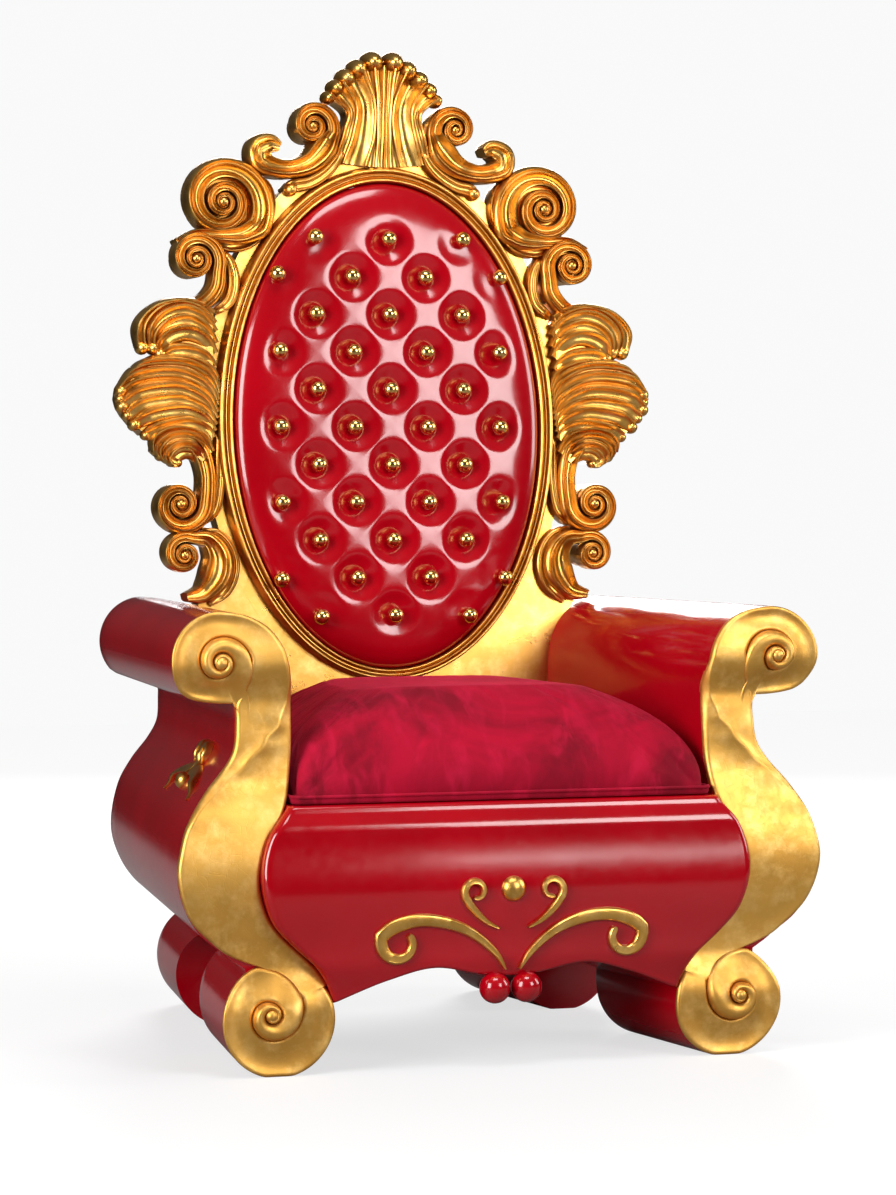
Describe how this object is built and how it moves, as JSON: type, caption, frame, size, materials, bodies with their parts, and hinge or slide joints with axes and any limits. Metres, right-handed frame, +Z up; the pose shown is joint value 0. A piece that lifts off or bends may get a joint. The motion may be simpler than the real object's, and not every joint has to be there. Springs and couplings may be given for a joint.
{
  "type": "throne",
  "caption": "Ceremonial throne with rolled arms, scroll feet and fronts, a carved crested back around a tufted oval panel, and a loose seat cushion.",
  "frame": {"origin": "on the floor, under the middle of the whole throne's box", "axes": "+Z up, the front faces -Y, +X toward the right arm as seen from the front"},
  "size_m": [1.1934, 1.0054, 1.8525],
  "materials": {
    "red_lacquer": "high gloss red lacquer on a moulded shell",
    "gold_leaf": "satin gold leaf over moulded carving, slightly wrinkled, umber in the hollows",
    "gold_studs": "polished domed studs",
    "velvet": "crimson velvet with a brushed pile"
  },
  "bodies": {
    "root": {"seat_box": "red_lacquer", "arm_side_right": "red_lacquer", "arm_side_left": "red_lacquer", "rear_block": "red_lacquer", "scroll_front_right": "gold_leaf", "scroll_front_left": "gold_leaf", "back_frame": "gold_leaf", "tufted_panel": "red_lacquer", "stud_01": "gold_studs", "stud_02": "gold_studs", "stud_03": "gold_studs", "stud_04": "gold_studs", "stud_05": "gold_studs", "stud_06": "gold_studs", "stud_07": "gold_studs", "stud_08": "gold_studs", "stud_09": "gold_studs", "stud_10": "gold_studs", "stud_11": "gold_studs", "stud_12": "gold_studs", "stud_13": "gold_studs", "stud_14": "gold_studs", "stud_15": "gold_studs", "stud_16": "gold_studs", "stud_17": "gold_studs", "stud_18": "gold_studs", "stud_19": "gold_studs", "stud_20": "gold_studs", "stud_21": "gold_studs", "stud_22": "gold_studs", "stud_23": "gold_studs", "stud_24": "gold_studs", "stud_25": "gold_studs", "stud_26": "gold_studs", "stud_27": "gold_studs", "stud_28": "gold_studs", "stud_29": "gold_studs", "stud_30": "gold_studs", "stud_31": "gold_studs", "stud_32": "gold_studs", "stud_33": "gold_studs", "stud_34": "gold_studs", "stud_35": "gold_studs", "stud_36": "gold_studs", "stud_37": "gold_studs", "stud_38": "gold_studs", "seat_cushion": "velvet", "apron_scroll_large_right": "gold_leaf", "apron_scroll_large_left": "gold_leaf", "apron_scroll_small_right": "gold_leaf", "apron_scroll_small_left": "gold_leaf", "apron_dome": "gold_leaf", "apron_ball_right": "red_lacquer", "apron_ball_left": "red_lacquer", "side_ornament_right": "gold_leaf", "side_ornament_left": "gold_leaf"}
  },
  "joints": []
}
